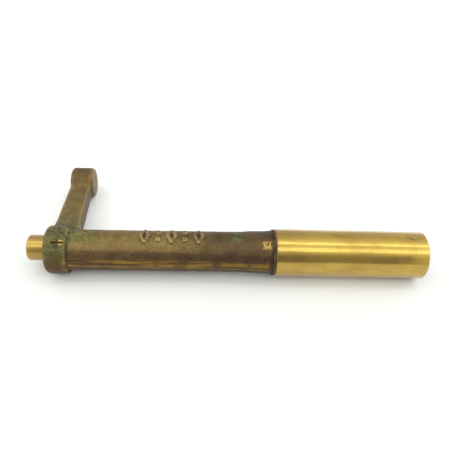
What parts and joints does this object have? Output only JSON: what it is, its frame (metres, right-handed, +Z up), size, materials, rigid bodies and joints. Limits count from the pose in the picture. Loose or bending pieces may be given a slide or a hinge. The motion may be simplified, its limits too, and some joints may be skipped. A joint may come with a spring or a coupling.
{
  "type": "fire hydrant wrench",
  "caption": "Hand wrench with a cast lever arm, a square-socket drive stub at one end and a hand grip that turns freely at the other.",
  "frame": {"origin": "on the spindle's axis, in the collar's face that the drive stub stands out of", "axes": "+X along the barrel towards the hand grip, +Y along the lever arm as seen from above, +Z up with the wrench lying on its collar, grip and arm boss"},
  "size_m": [0.2627, 0.1038, 0.0328],
  "materials": {
    "cast_bronze": "sand-cast, tarnished brown with some green",
    "turned_brass": "turned and polished",
    "bearing_bronze": "turned, oiled",
    "washer_brass": "dull, oxidised",
    "steel": "plain machined, oiled",
    "screw_brass": "worn slotted screw"
  },
  "bodies": {
    "lever": {"lever_casting": "cast_bronze", "drive_spindle": "turned_brass", "collar_screw": "screw_brass", "thrust_washer": "washer_brass", "keeper_washer": "steel", "castle_nut": "steel", "split_pin": "steel"},
    "grip": {"grip_sleeve": "turned_brass", "inner_bush": "bearing_bronze", "outer_bush": "bearing_bronze"}
  },
  "joints": [
    {"name": "grip_spin", "type": "hinge", "parent": "lever", "child": "grip", "pos_m": [0.1995, 0, 0], "axis": [1, 0, 0], "continuous": true}
  ]
}
